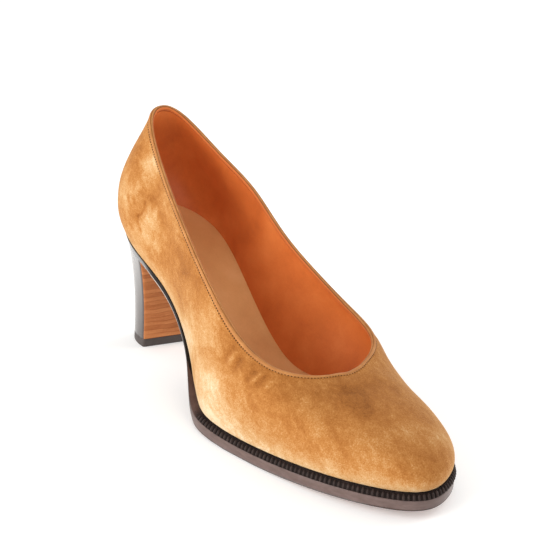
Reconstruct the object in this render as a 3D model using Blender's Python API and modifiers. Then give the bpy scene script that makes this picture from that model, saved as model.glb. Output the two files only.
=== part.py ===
# A plain court shoe for the right foot, standing on a stacked heel.
# Metres, +Z up, +X to the toe, +Y to the wearer's left. The origin is the middle of the box on the floor.
import bpy
import numpy as np

for old in list(bpy.data.objects):
    bpy.data.objects.remove(old, do_unlink=True)

MM = 0.001

# Driving sizes in millimetres
WALL = 1.8            # thickness of the upper
GAP = 0.3             # air left between neighbours
AROUND = 120          # points around the foot, even
UP = 12               # points up the upper
WAIST_EDGE = 4.0      # height of the sole edge under the arch
FORE_EDGE = 5.2       # height of the sole edge under the forefoot
WELT_RISE = 3.2       # height of the welt between sole and upper
WELT_START = 82.0     # distance from the back where the welt begins to rise
WELT_FULL = 104.0     # and where it has its full height
WELT_LEAST = 0.22     # the strip is cut off below this share of its height
WELT_LIP = 0.5        # how far the top of the welt stands out beyond the upper
INSOLE_RISE = 2.0     # top of the insole above the lower edge of the upper
INSOLE_INSET = 2.5
BINDING = 2.6         # width of the rolled edge of the opening
LIFT = 4.5            # thickness of the top lift
HEEL_STEPS = 12
HEEL_POINTS = 41      # points round one heel section, odd
HEEL_CURVE = 2.5      # how late the heel flares towards the seat

# The heel where it stands on the floor: a D with its flat side, the breast, forward.
# The breast runs slightly forward to the left, by this share of the way across.
BASE_BREAST = 28.0
BASE_SLANT = 0.23
BASE_LENGTH = 19.6
BASE_HALF = 16.2
BASE_POWER = 2.5

# The breast under the seat, and how far the sole edge leans in there to meet the heel.
# The lean ends between these two distances from the back.
SEAT_BREAST = 34.0
SEAT_SLANT = 0.105
SEAT_LEAN = 1.2
LEAN_ENDS = (34.0, 46.0)

# One row per station of the last, from the back of the heel to the tip of the toe.
# x, right, left, z: the edge where the upper meets the sole
# ledge: how far the sole stands out beyond that edge
# tx, tright, tleft, tz: the edge of the opening
# bout, bup: how the wall leaves the sole, outwards and upwards
# tout, tup: how the wall arrives at the opening
COLUMNS = ("x", "right", "left", "z", "ledge", "tx", "tright", "tleft", "tz", "bout", "bup", "tout", "tup")
LAST = {
    "heel_back":   (1.8, 0.0, 0.0, 68.8, 0.6, 10.2, 0.0, 0.0, 123.0, 13.0, 17.0, 5.6, -18.5),
    "heel_corner": (7.0, 16.2, 16.8, 64.7, 0.6, 14.6, 9.0, 10.0, 118.7, 12.3, 16.5, 9.0, -18.5),
    "heel_side":   (26.0, 24.6, 24.8, 58.0, 0.6, 32.0, 15.5, 19.5, 104.0, 9.0, 16.5, 5.0, -18.0),
    "shank":       (56.0, 24.6, 21.0, 45.5, 0.6, 57.5, 23.0, 24.5, 90.0, 4.2, 17.0, 2.7, -17.0),
    "waist":       (81.0, 28.4, 19.0, 26.2, 1.4, 83.0, 28.0, 25.0, 74.5, 3.8, 17.0, 2.9, -15.0),
    "joint_back":  (98.5, 35.3, 22.0, 12.3, 3.2, 105.5, 31.0, 29.0, 61.0, 4.2, 16.0, 5.0, -12.0),
    "joint":       (114.0, 40.2, 27.0, 9.1, 2.3, 122.0, 31.0, 33.0, 51.3, 2.8, 15.0, 9.0, -9.6),
    "ball":        (143.0, 37.2, 33.8, 8.3, 1.8, 144.8, 28.8, 28.6, 45.6, 2.3, 13.5, 14.0, -7.9),
    "fore":        (181.0, 28.2, 32.7, 10.6, 1.8, 158.4, 14.7, 11.2, 43.5, 2.4, 12.0, 21.0, -6.6),
    "toe_corner":  (207.5, 15.2, 21.6, 12.4, 1.8, 160.0, 5.0, 5.3, 42.8, 5.6, 12.0, 27.0, -8.0),
    "toe_tip":     (218.0, 0.0, 0.6, 13.0, 1.8, 160.3, 0.0, 0.0, 42.3, 8.5, 15.0, 33.0, -8.5),
}


def column(name):
    place = COLUMNS.index(name)
    return np.array([row[place] for row in LAST.values()])


def around_foot(right, left):
    # back of the heel, right side, toe, then the left side back to the heel
    toe = left[-1] if right[-1] == 0 else right[-1]
    return np.concatenate([right[:-1], [toe], left[1:-1][::-1]])


def knots():
    x = column("x")
    sides = [np.hypot(np.diff(x), np.diff(column(side))) for side in ("right", "left")]
    steps = np.sqrt((sides[0] + sides[1]) / 2)
    steps = np.concatenate([steps, steps[::-1]])
    return np.concatenate([[0], np.cumsum(steps)]) / steps.sum()


def closed_curve(values, at):
    # a smooth closed cubic through the rows, with its slope
    k = knots()
    h = np.diff(k)
    n = len(values)
    back = np.roll(h, 1)
    rise = (np.roll(values, -1) - values) / h
    system = np.diag(2 * (back + h))
    for i in range(n):
        system[i, i - 1] += back[i]
        system[i, (i + 1) % n] += h[i]
    bend = np.linalg.solve(system, 6 * (rise - np.roll(rise, 1)))
    i = np.clip(np.searchsorted(k, at, side="right") - 1, 0, n - 1)
    j = (i + 1) % n
    a = k[i + 1] - at
    b = at - k[i]
    value = (bend[i] * a**3 + bend[j] * b**3) / (6 * h[i])
    value += (values[i] / h[i] - bend[i] * h[i] / 6) * a + (values[j] / h[i] - bend[j] * h[i] / 6) * b
    slope = (bend[j] * b**2 - bend[i] * a**2) / (2 * h[i]) + rise[i] - (bend[j] - bend[i]) * h[i] / 6
    return value, slope


def both_sides(name, at):
    values = column(name)
    return closed_curve(around_foot(values, values), at)[0]


def smooth_step(x, start, stop):
    s = np.clip((x - start) / (stop - start), 0, 1)
    return s * s * (3 - 2 * s)


def share_of_welt(x):
    return smooth_step(x, WELT_START, WELT_FULL)


turn = np.arange(AROUND) / AROUND
px, dx = closed_curve(around_foot(column("x"), column("x")), turn)
py, dy = closed_curve(around_foot(-column("right"), column("left")), turn)
pz = both_sides("z", turn)
length = np.hypot(dx, dy)
outward = np.stack([dy / length, -dx / length, np.zeros(AROUND)], axis=1)
upward = np.array([0.0, 0.0, 1.0])
edge = np.stack([px, py, pz], axis=1)
opening = np.stack([
    both_sides("tx", turn),
    closed_curve(around_foot(-column("tright"), column("tleft")), turn)[0],
    both_sides("tz", turn),
], axis=1)

half = AROUND // 2


def edge_height(x):
    # height of the lower edge of the upper, for any distance from the back
    return np.interp(x, px[:half + 1], pz[:half + 1])


def welt_foot(x):
    return edge_height(x) - WELT_RISE * share_of_welt(x)


def sole_top(x):
    return welt_foot(x) - GAP


def sole_bottom(x):
    thick = WAIST_EDGE + (FORE_EDGE - WAIST_EDGE) * share_of_welt(x)
    return np.maximum(welt_foot(x) - thick, 0.0)


ledge = both_sides("ledge", turn)
sole_line = edge + outward * ledge[:, None]
tread_line = sole_line - outward * (SEAT_LEAN * (1 - smooth_step(px, *LEAN_ENDS)))[:, None]


def wall_curves():
    # one cubic from the sole to the opening at each point around the foot
    a = edge
    b = edge + outward * both_sides("bout", turn)[:, None] + upward * both_sides("bup", turn)[:, None]
    c = opening + outward * both_sides("tout", turn)[:, None] + upward * both_sides("tup", turn)[:, None]
    d = opening
    v = np.linspace(0, 1, 81)[None, :, None]
    a, b, c, d = (p[:, None] for p in (a, b, c, d))
    return (1 - v)**3 * a + 3 * (1 - v)**2 * v * b + 3 * (1 - v) * v**2 * c + v**3 * d


def along_wall(curves, start, stop, count):
    # points at even distances between two distances measured down from the opening
    steps = np.linalg.norm(np.diff(curves, axis=1), axis=2)
    run = np.concatenate([np.zeros((AROUND, 1)), np.cumsum(steps, axis=1)], axis=1)
    grid = np.empty((AROUND, count, 3))
    for i in range(AROUND):
        full = run[i, -1]
        begin = 0.0 if start is None else full - start
        at = np.linspace(begin, full - stop, count)
        for k in range(3):
            grid[i, :, k] = np.interp(at, run[i], curves[i, :, k])
    return grid


def ring_faces(rings, per_ring, first=0):
    # quads between closed rings of points that follow one another
    faces = []
    for r in range(rings - 1):
        for i in range(per_ring):
            j = (i + 1) % per_ring
            a = first + r * per_ring
            faces.append((a + i, a + j, a + per_ring + j, a + per_ring + i))
    return faces


def across(per_ring, first, flip):
    # strips from side to side over one ring, so the face follows the length of the foot
    faces = []
    for i in range(per_ring // 2):
        far, back = (per_ring - i - 1) % per_ring, (per_ring - i) % per_ring
        loop = list(dict.fromkeys([first + i, first + i + 1, first + far, first + back]))
        faces.append(tuple(reversed(loop)) if flip else tuple(loop))
    return faces


def slab(low_line, high_line, low, high):
    # a body between two outlines, at two heights that change along the foot
    low_ring = np.column_stack([low_line[:, :2], low(high_line[:, 0])])
    high_ring = np.column_stack([high_line[:, :2], high(high_line[:, 0])])
    n = len(high_line)
    faces = ring_faces(2, n) + across(n, 0, True) + across(n, n, False)
    return np.concatenate([low_ring, high_ring]), faces


def upper_surface():
    # the outside of the wall only: its thickness is added to the object
    outer = along_wall(wall_curves(), None, BINDING + 2 * GAP, UP)
    return np.concatenate([outer[:, k] for k in range(UP)]), ring_faces(UP, AROUND)


def binding_line():
    # the middle of the bound edge, half a wall inside the outer surface
    strip = along_wall(wall_curves(), BINDING, 0.0, 3)
    round_foot = np.roll(strip, -1, axis=0) - np.roll(strip, 1, axis=0)
    normal = np.cross(round_foot[:, 1], strip[:, 2] - strip[:, 0])
    normal /= np.linalg.norm(normal, axis=1, keepdims=True)
    return strip[:, 1] - normal * WALL / 2


def welt_body():
    keep = np.flatnonzero(share_of_welt(px) > WELT_LEAST)
    inner = (edge - outward * (WALL + GAP))[keep]
    outer = sole_line[keep]
    lip = (edge + outward * np.minimum(WELT_LIP, ledge)[:, None])[keep]

    def raised(line, level):
        foot = welt_foot(line[:, 0])
        return np.column_stack([line[:, :2], foot + level * (edge_height(line[:, 0]) - GAP - foot)])

    sections = np.stack([
        raised(inner, 0.0),
        raised(outer, 0.0),
        raised(outer, 0.25),
        raised(lip, 1.0),
        raised(inner, 1.0),
    ], axis=1)
    n = sections.shape[1]
    faces = []
    for k in range(len(keep) - 1):
        for i in range(n):
            j = (i + 1) % n
            faces.append((k * n + i, (k + 1) * n + i, (k + 1) * n + j, k * n + j))
    faces.append(tuple(range(n)))
    faces.append(tuple(reversed(range((len(keep) - 1) * n, len(keep) * n))))
    return sections.reshape(-1, 3), faces


def even_spacing(line, count):
    run = np.concatenate([[0], np.cumsum(np.linalg.norm(np.diff(line[:, :2], axis=0), axis=1))])
    at = np.linspace(0, run[-1], count)
    return np.stack([np.interp(at, run, line[:, k]) for k in range(line.shape[1])], axis=1)


def base_line():
    angle = np.linspace(0, np.pi, 400)
    power = 2 / BASE_POWER
    y = BASE_HALF * np.sign(np.cos(angle)) * np.abs(np.cos(angle))**power
    x = BASE_BREAST + BASE_SLANT * y - BASE_LENGTH * np.abs(np.sin(angle))**power
    return even_spacing(np.stack([x, y], axis=1), HEEL_POINTS)


def seat_line():
    # the tread of the sole from the breast on the left, round the back, to the breast on the right
    fine = np.linspace(-0.25, 0.25, 801) % 1
    ring = np.column_stack([tread_line[:, :2], sole_bottom(sole_line[:, 0])])
    closed = np.concatenate([ring, ring[:1]])
    smooth = np.stack([np.interp(fine, np.append(turn, 1), closed[:, k]) for k in range(3)], axis=1)
    behind = smooth[:, 0] < SEAT_BREAST + SEAT_SLANT * smooth[:, 1]
    return even_spacing(smooth[behind], HEEL_POINTS)


def heel_rings(levels, floor):
    base = base_line()
    seat = seat_line()
    rings = []
    for level in levels:
        flare = level**HEEL_CURVE
        plan = base * (1 - flare) + seat[:, :2] * flare
        height = floor + (seat[:, 2] - GAP - floor) * level
        rings.append(np.column_stack([plan, height]))
    return rings


def open_across(per_ring, first, flip):
    faces = []
    for i in range(per_ring // 2):
        a, b = first + i, first + i + 1
        c, d = first + per_ring - 2 - i, first + per_ring - 1 - i
        loop = list(dict.fromkeys([a, b, c, d]))
        faces.append(tuple(reversed(loop)) if flip else tuple(loop))
    return faces


def heel_faces(rings):
    faces = ring_faces(rings, HEEL_POINTS)
    top = (rings - 1) * HEEL_POINTS
    return faces + open_across(HEEL_POINTS, 0, True) + open_across(HEEL_POINTS, top, False)


def heel_body():
    rings = heel_rings(np.linspace(0, 1, HEEL_STEPS), LIFT + GAP)
    return np.concatenate(rings), heel_faces(HEEL_STEPS)


def insole_body():
    line = edge - outward * INSOLE_INSET
    return slab(line, line, welt_foot, lambda x: edge_height(x) + INSOLE_RISE)


def finish(name, data, colour, rough):
    material = bpy.data.materials.new(name)
    material.use_nodes = True
    shader = material.node_tree.nodes["Principled BSDF"]
    shader.inputs["Base Color"].default_value = (*colour, 1.0)
    shader.inputs["Roughness"].default_value = rough
    shader.inputs["Metallic"].default_value = 0.0
    data.materials.append(material)
    made = bpy.data.objects.new(name, data)
    shoe.objects.link(made)
    return made


def mesh_of(name, body):
    points, faces = body
    mesh = bpy.data.meshes.new(name)
    mesh.from_pydata(((points - origin) * MM).tolist(), [], faces)
    mesh.shade_smooth()
    return mesh


def curve_of(name, points, flat):
    curve = bpy.data.curves.new(name, "CURVE")
    curve.dimensions = "2D" if flat else "3D"
    spline = curve.splines.new("POLY")
    spline.points.add(len(points) - 1)
    for point, place in zip(spline.points, (points - origin) * MM):
        point.co = (*place, 1.0)
    spline.use_cyclic_u = True
    return curve


shoe = bpy.data.collections.new("court_shoe")
bpy.context.scene.collection.children.link(shoe)

sole = slab(tread_line, sole_line, sole_bottom, sole_top)
upper = upper_surface()
every_point = np.concatenate([sole[0], upper[0]])
low = every_point.min(axis=0)
high = every_point.max(axis=0)
origin = np.array([(low[0] + high[0]) / 2, (low[1] + high[1]) / 2, 0.0])

finish("outsole", mesh_of("outsole", sole), (0.16, 0.10, 0.08), 0.35)
finish("welt", mesh_of("welt", welt_body()), (0.02, 0.016, 0.014), 0.45)
finish("heel_block", mesh_of("heel_block", heel_body()), (0.20, 0.10, 0.055), 0.35)
finish("insole", mesh_of("insole", insole_body()), (0.62, 0.38, 0.20), 0.6)

wall = finish("upper", mesh_of("upper", upper), (0.50, 0.25, 0.09), 0.9).modifiers.new("wall", "SOLIDIFY")
wall.thickness = WALL * MM
wall.offset = -1.0
wall.use_even_offset = True

rolled = curve_of("topline_binding", binding_line(), False)
rolled.bevel_depth = BINDING / 2 * MM
rolled.bevel_resolution = 2
finish("topline_binding", rolled, (0.46, 0.21, 0.07), 0.8)

base = base_line()
tread = curve_of("top_lift", np.column_stack([base, np.zeros(len(base))]), True)
tread.fill_mode = "BOTH"
tread.extrude = LIFT / 2 * MM
finish("top_lift", tread, (0.03, 0.024, 0.022), 0.5).location.z = LIFT / 2 * MM
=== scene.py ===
# Camel suede court shoe for the right foot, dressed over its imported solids
import math
import bpy
import numpy as np
from mathutils import Matrix, Vector


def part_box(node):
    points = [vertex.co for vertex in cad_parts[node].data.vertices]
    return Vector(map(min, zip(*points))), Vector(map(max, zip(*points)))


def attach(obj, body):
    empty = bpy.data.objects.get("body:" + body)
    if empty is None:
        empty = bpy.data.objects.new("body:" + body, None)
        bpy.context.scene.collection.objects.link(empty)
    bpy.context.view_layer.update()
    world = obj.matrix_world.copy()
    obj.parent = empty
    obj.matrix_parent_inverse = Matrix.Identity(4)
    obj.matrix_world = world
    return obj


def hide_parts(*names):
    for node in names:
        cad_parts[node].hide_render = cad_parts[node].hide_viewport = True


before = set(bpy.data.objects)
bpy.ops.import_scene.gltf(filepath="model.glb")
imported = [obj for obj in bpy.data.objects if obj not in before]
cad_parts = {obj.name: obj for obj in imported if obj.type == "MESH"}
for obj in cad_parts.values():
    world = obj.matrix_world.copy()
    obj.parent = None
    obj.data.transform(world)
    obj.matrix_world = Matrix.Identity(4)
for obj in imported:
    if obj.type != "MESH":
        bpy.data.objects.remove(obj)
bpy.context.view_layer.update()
print("stage 1: solids loaded,", len(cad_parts), "nodes")

mm = 0.001

# The last: sizes in millimetres from the back of the heel, shared by every piece
form = {
    "wall": 1.8,            # suede and lining together
    "suede": 1,
    "binding": 2.6,
    "weltRise": 3.2,
    "weltLip": 0.5,
    "weltStart": 82,
    "weltFull": 104,
    "waistEdge": 4,
    "foreEdge": 5.2,
    "lift": 4.5,
    "seatBreast": 34,       # flat front of the heel under the seat, from the back
    "seatSlant": 0.105,     # how much it runs forward to the left
    "seatLean": 1.2,        # the sole edge leans in over the heel, and no more beyond these two distances
    "leanEnds": (34, 46),
    "baseBreast": 28,       # the same on the floor
    "baseSlant": 0.23,
    "baseLength": 19.6,
    "baseHalf": 16.2,
    "basePower": 2.5,
    "heelCurve": 2.5,
    "wallSteps": 161,       # points up the wall, from the sole to the opening
    "finePoints": 1200,     # points of the line that heights are read from
}
# x, right, left, z: where the wall meets the sole. ledge: how far the sole stands out there.
# tx to tz: edge of the opening.
# bout, bup and tout, tup: how the wall leaves the sole and how it comes to the opening.
stationColumns = ("x", "right", "left", "z", "ledge", "tx", "tright", "tleft", "tz",
                  "bout", "bup", "tout", "tup")
stations = {
    "heelBack":   (1.8, 0, 0, 68.8, 0.6, 10.2, 0, 0, 123, 13, 17, 5.6, -18.5),
    "heelCorner": (7, 16.2, 16.8, 64.7, 0.6, 14.6, 9, 10, 118.7, 12.3, 16.5, 9, -18.5),
    "heelSide":   (26, 24.6, 24.8, 58, 0.6, 32, 15.5, 19.5, 104, 9, 16.5, 5, -18),
    "shank":      (56, 24.6, 21, 45.5, 0.6, 57.5, 23, 24.5, 90, 4.2, 17, 2.7, -17),
    "waist":      (81, 28.4, 19, 26.2, 1.4, 83, 28, 25, 74.5, 3.8, 17, 2.9, -15),
    "jointBack":  (98.5, 35.3, 22, 12.3, 3.2, 105.5, 31, 29, 61, 4.2, 16, 5, -12),
    "joint":      (114, 40.2, 27, 9.1, 2.3, 122, 31, 33, 51.3, 2.8, 15, 9, -9.6),
    "ball":       (143, 37.2, 33.8, 8.3, 1.8, 144.8, 28.8, 28.6, 45.6, 2.3, 13.5, 14, -7.9),
    "fore":       (181, 28.2, 32.7, 10.6, 1.8, 158.4, 14.7, 11.2, 43.5, 2.4, 12, 21, -6.6),
    "toeCorner":  (207.5, 15.2, 21.6, 12.4, 1.8, 160, 5, 5.3, 42.8, 5.6, 12, 27, -8),
    "toeTip":     (218, 0, 0.6, 13, 1.8, 160.3, 0, 0, 42.3, 8.5, 15, 33, -8.5),
}

liftLow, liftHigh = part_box("top_lift")
baseFront = form["baseBreast"] + form["baseSlant"] * form["baseHalf"]
origin = np.array([baseFront - liftHigh.x / mm, -(liftLow.y + liftHigh.y) / 2 / mm, 0])


def column(name):
    place = stationColumns.index(name)
    return np.array([row[place] for row in stations.values()])


def aroundFoot(right, left):
    toe = left[-1] if right[-1] == 0 else right[-1]
    return np.concatenate([right[:-1], [toe], left[1:-1][::-1]])


def knotPlaces():
    sides = [np.hypot(np.diff(column("x")), np.diff(column(side))) for side in ("right", "left")]
    steps = np.sqrt((sides[0] + sides[1]) / 2)
    steps = np.concatenate([steps, steps[::-1]])
    return np.concatenate([[0], np.cumsum(steps)]) / steps.sum()


def closedCurve(values, at):
    # smooth closed cubic through the stations, with its slope
    k = knotPlaces()
    h = np.diff(k)
    n = len(values)
    back = np.roll(h, 1)
    rise = (np.roll(values, -1) - values) / h
    system = np.diag(2 * (back + h))
    for i in range(n):
        system[i, i - 1] += back[i]
        system[i, (i + 1) % n] += h[i]
    bend = np.linalg.solve(system, 6 * (rise - np.roll(rise, 1)))
    i = np.clip(np.searchsorted(k, at, side="right") - 1, 0, n - 1)
    j = (i + 1) % n
    a = k[i + 1] - at
    b = at - k[i]
    value = (bend[i] * a**3 + bend[j] * b**3) / (6 * h[i])
    value += (values[i] / h[i] - bend[i] * h[i] / 6) * a + (values[j] / h[i] - bend[j] * h[i] / 6) * b
    slope = (bend[j] * b**2 - bend[i] * a**2) / (2 * h[i]) + rise[i] - (bend[j] - bend[i]) * h[i] / 6
    return value, slope


def bothSides(name, at):
    return closedCurve(aroundFoot(column(name), column(name)), at)[0]


def footLines(count):
    # the sole edge, the opening and the wall between them, at even steps round the foot
    at = np.arange(count) / count
    px, dx = closedCurve(aroundFoot(column("x"), column("x")), at)
    py, dy = closedCurve(aroundFoot(-column("right"), column("left")), at)
    run = np.hypot(dx, dy)
    outward = np.stack([dy / run, -dx / run, np.zeros(count)], axis=1)
    upward = np.array([0, 0, 1])
    edge = np.stack([px, py, bothSides("z", at)], axis=1)
    topY = closedCurve(aroundFoot(-column("tright"), column("tleft")), at)[0]
    opening = np.stack([bothSides("tx", at), topY, bothSides("tz", at)], axis=1)
    low = edge + outward * bothSides("bout", at)[:, None] + upward * bothSides("bup", at)[:, None]
    high = opening + outward * bothSides("tout", at)[:, None] + upward * bothSides("tup", at)[:, None]
    v = np.linspace(0, 1, form["wallSteps"])[None, :, None]
    a, b, c, d = (p[:, None] for p in (edge, low, high, opening))
    curves = (1 - v)**3 * a + 3 * (1 - v)**2 * v * b + 3 * (1 - v) * v**2 * c + v**3 * d
    ledge = bothSides("ledge", at)[:, None]
    return {"edge": edge, "outward": outward, "ledge": ledge, "outline": edge + outward * ledge,
            "curves": curves, "lean": (bothSides("bout", at) / bothSides("bup", at))[:, None]}


def wallRun(curves):
    steps = np.linalg.norm(np.diff(curves, axis=1), axis=2)
    return np.concatenate([np.zeros((len(curves), 1)), np.cumsum(steps, axis=1)], axis=1)


def pointsDown(curves, down):
    # points on the wall at given distances below the opening, a row of them for each curve
    run = wallRun(curves)
    down = np.broadcast_to(down, (len(curves), np.shape(down)[-1]))
    places = run[:, -1:] - down
    return np.array([[np.interp(places[i], run[i], curves[i, :, k]) for k in range(3)]
                     for i in range(len(curves))]).transpose(0, 2, 1)


def unit(vectors):
    return vectors / np.linalg.norm(vectors, axis=-1, keepdims=True)


def gridNormals(grid):
    around = np.roll(grid, -1, axis=0) - np.roll(grid, 1, axis=0)
    return unit(np.cross(around, np.gradient(grid, axis=1)))


def lastedSkin(settings):
    # the outside of the wall from the sole to the rim, the depth of each row and the run of each curve
    curves = footLines(settings["around"])["curves"]
    full = wallRun(curves)[:, -1:]
    down = full + (settings["rimDown"] - full) * np.linspace(0, 1, settings["rows"])
    skin = pointsDown(curves, down)
    return skin, gridNormals(skin), down, full


def smoothStep(value, low, high):
    s = np.clip((value - low) / (high - low), 0, 1)
    return s * s * (3 - 2 * s)


def shareOfWelt(x):
    return smoothStep(x, form["weltStart"], form["weltFull"])


fineLine = footLines(form["finePoints"])["edge"][:form["finePoints"] // 2 + 1]


def edgeHeight(x):
    return np.interp(x, fineLine[:, 0], fineLine[:, 2])


def weltFoot(x):
    return edgeHeight(x) - form["weltRise"] * shareOfWelt(x)


def soleBottom(x):
    thick = form["waistEdge"] + (form["foreEdge"] - form["waistEdge"]) * shareOfWelt(x)
    return np.maximum(weltFoot(x) - thick, 0)


# Meshes

def sweepFaces(count, rows, closedAround=True, closedRows=True):
    i, r = np.meshgrid(np.arange(count if closedAround else count - 1),
                       np.arange(rows if closedRows else rows - 1), indexing="ij")
    j, s = (i + 1) % count, (r + 1) % rows
    return np.stack([i * rows + r, j * rows + r, j * rows + s, i * rows + s], axis=-1).reshape(-1, 4).tolist()


def fillRing(points, ring, per, row, steps, height):
    # closes one row of a swept edge from side to side
    count = len(ring)
    lines = []
    for i in range(count // 2 + 1):
        left = (count - i) % count
        ids = [i * per + row]
        if i == left:
            ids *= steps + 1
        else:
            for k in range(1, steps):
                place = ring[i] + (ring[left] - ring[i]) * (k / steps)
                place[2] = height(place, k / steps)
                ids.append(len(points))
                points.append(place)
            ids.append(left * per + row)
        lines.append(ids)
    loops = [dict.fromkeys([near[k], far[k], far[k + 1], near[k + 1]])
             for near, far in zip(lines[:-1], lines[1:]) for k in range(steps)]
    return [list(loop) for loop in loops if len(loop) > 2]


def filledEdge(grid, below, above):
    # a swept edge closed underneath and on top, each given by its steps across and its height at a place
    count, per = grid.shape[:2]
    points = list(grid.reshape(-1, 3))
    bottom = [loop[::-1] for loop in fillRing(points, grid[:, 0], per, 0, *below)]
    top = fillRing(points, grid[:, -1], per, per - 1, *above)
    return points, sweepFaces(count, per, True, False), bottom + top


def setAttribute(mesh, label, values, kind="FLOAT", field="value"):
    layer = mesh.attributes.new(label, kind, "POINT")
    layer.data.foreach_set(field, np.asarray(values, np.float32).ravel())


def makeMesh(name, points, edges, faces):
    mesh = bpy.data.meshes.new(name)
    mesh.from_pydata(((np.asarray(points).reshape(-1, 3) - origin) * mm).tolist(), edges, faces)
    return mesh


def intoScene(name, data):
    thing = bpy.data.objects.new(name, data)
    bpy.context.scene.collection.objects.link(thing)
    return thing


def addPiece(name, mesh, materials, node=None):
    piece = intoScene(name, mesh)
    for material in materials:
        mesh.materials.append(material)
    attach(piece, "root")
    if node:
        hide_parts(node)


def makePiece(name, points, faces, materials, node,
              attributes=None, sharpAngle=None, finishOf=None):
    # finishOf: which of the materials each face has, if there are two
    mesh = makeMesh(name, points, [], faces)
    for label, values in (attributes or {}).items():
        setAttribute(mesh, label, values)
    mesh.shade_smooth()
    if sharpAngle:
        mesh.set_sharp_from_angle(angle=math.radians(sharpAngle))
    if finishOf is not None:
        mesh.polygons.foreach_set("material_index", np.array(finishOf, np.int32))
    addPiece(name, mesh, materials, node)


# Material nodes

def addNode(tree, kind, inputs=None, **settings):
    node = tree.nodes.new(kind)
    for label, value in settings.items():
        setattr(node, label, value)
    for label, value in (inputs or {}).items():
        if isinstance(value, bpy.types.NodeSocket):
            tree.links.new(value, node.inputs[label])
        else:
            node.inputs[label].default_value = value
    return node


def newMaterial(name, values):
    material = bpy.data.materials.new(name)
    material.use_nodes = True
    shader = material.node_tree.nodes["Principled BSDF"]
    for label, value in values.items():
        shader.inputs[label].default_value = value
    return material, material.node_tree, shader


def objectPlace(tree, stretch=None, turn=(0, 0, 0)):
    # the pattern is drawn out by the stretch along its own turned axes
    place = addNode(tree, "ShaderNodeTexCoord").outputs["Object"]
    if stretch is None:
        return place
    return addNode(tree, "ShaderNodeMapping", {"Vector": place, "Scale": stretch, "Rotation": turn},
                   vector_type="TEXTURE").outputs["Vector"]


def noise(tree, scale, detail, rough, distort=0, stretch=None, turn=(0, 0, 0)):
    return addNode(tree, "ShaderNodeTexNoise", {
        "Vector": objectPlace(tree, stretch, turn), "Scale": scale, "Detail": detail, "Roughness": rough,
        "Distortion": distort,
    }).outputs["Fac"]


def maths(tree, operation, a, b=0, c=0):
    return addNode(tree, "ShaderNodeMath", {0: a, 1: b, 2: c}, operation=operation).outputs[0]


def weighted(tree, base, parts):
    # base plus each pattern about its middle, times its weight
    total = base
    for drawn, weight in parts:
        total = maths(tree, "MULTIPLY_ADD", drawn, weight, maths(tree, "ADD", total, -weight / 2))
    return total


def attribute(tree, name):
    return addNode(tree, "ShaderNodeAttribute", attribute_name=name).outputs["Fac"]


def ramp(tree, factor, stops):
    node = addNode(tree, "ShaderNodeValToRGB", {"Fac": factor})
    bar = node.color_ramp
    while len(bar.elements) < len(stops):
        bar.elements.new(0.5)
    for element, (place, colour) in zip(bar.elements, stops):
        element.position = place
        element.color = (*colour, 1)
    return node.outputs["Color"]


def blend(tree, factor, a, b):
    inputs = {0: factor}
    for label, colour in ((6, a), (7, b)):
        inputs[label] = colour if isinstance(colour, bpy.types.NodeSocket) else (*colour, 1)
    return addNode(tree, "ShaderNodeMix", inputs, data_type="RGBA").outputs[2]


def bump(tree, height, strength, depth, under=None):
    inputs = {"Height": height, "Strength": strength, "Distance": depth}
    if under is not None:
        inputs["Normal"] = under
    return addNode(tree, "ShaderNodeBump", inputs).outputs["Normal"]


def spread(tree, factor, low, high):
    return addNode(tree, "ShaderNodeMapRange", {
        "Value": factor, "To Min": low, "To Max": high}).outputs[0]


def dress(tree, shader, sources):
    for label, source in sources.items():
        tree.links.new(source, shader.inputs[label])


# A look holds what a finish is made of.
# coarse, fine: scale, detail, roughness, distortion, stretch, turn of two patterns. pores: a third's scale.
# weights: how much the two count in the tone, about base. tint: attributes that count too.
# colours: place in the tone, colour. covers: attributes and what they lay over it, one colour or two.
# rough: pattern, least, most. relief: pattern, strength, depth, lowest first. guided: sockets by attribute.
def newFinish(name, look):
    values = {"Specular IOR Level": look["specular"], **look.get("shader", {})}
    material, tree, shader = newMaterial(name, values)
    drawn = {"coarse": noise(tree, *look["coarse"]), "fine": noise(tree, *look["fine"])}
    parts = list(zip(drawn.values(), look["weights"]))
    parts += [(attribute(tree, label), weight) for label, weight in look.get("tint", {}).items()]
    if "pores" in look:
        inputs = {"Vector": objectPlace(tree), "Scale": look["pores"], "Randomness": 1}
        pores = addNode(tree, "ShaderNodeTexVoronoi", inputs, feature="DISTANCE_TO_EDGE")
        drawn["pores"] = pores.outputs["Distance"]
    colour = ramp(tree, weighted(tree, look.get("base", 0.5), parts), look["colours"])
    for label, cover in look.get("covers", {}).items():
        over = blend(tree, drawn["coarse"], *cover) if len(cover) == 2 else cover
        colour = blend(tree, attribute(tree, label), colour, over)
    label, least, most = look["rough"]
    sources = {"Base Color": colour, "Roughness": spread(tree, drawn[label], least, most)}
    for label, strength, depth in look.get("relief", ()):
        sources["Normal"] = bump(tree, drawn[label], strength, depth, sources.get("Normal"))
    for label, by in look.get("guided", {}).items():
        sources[label] = attribute(tree, by)
    dress(tree, shader, sources)
    return material


# Suede upper

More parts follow.
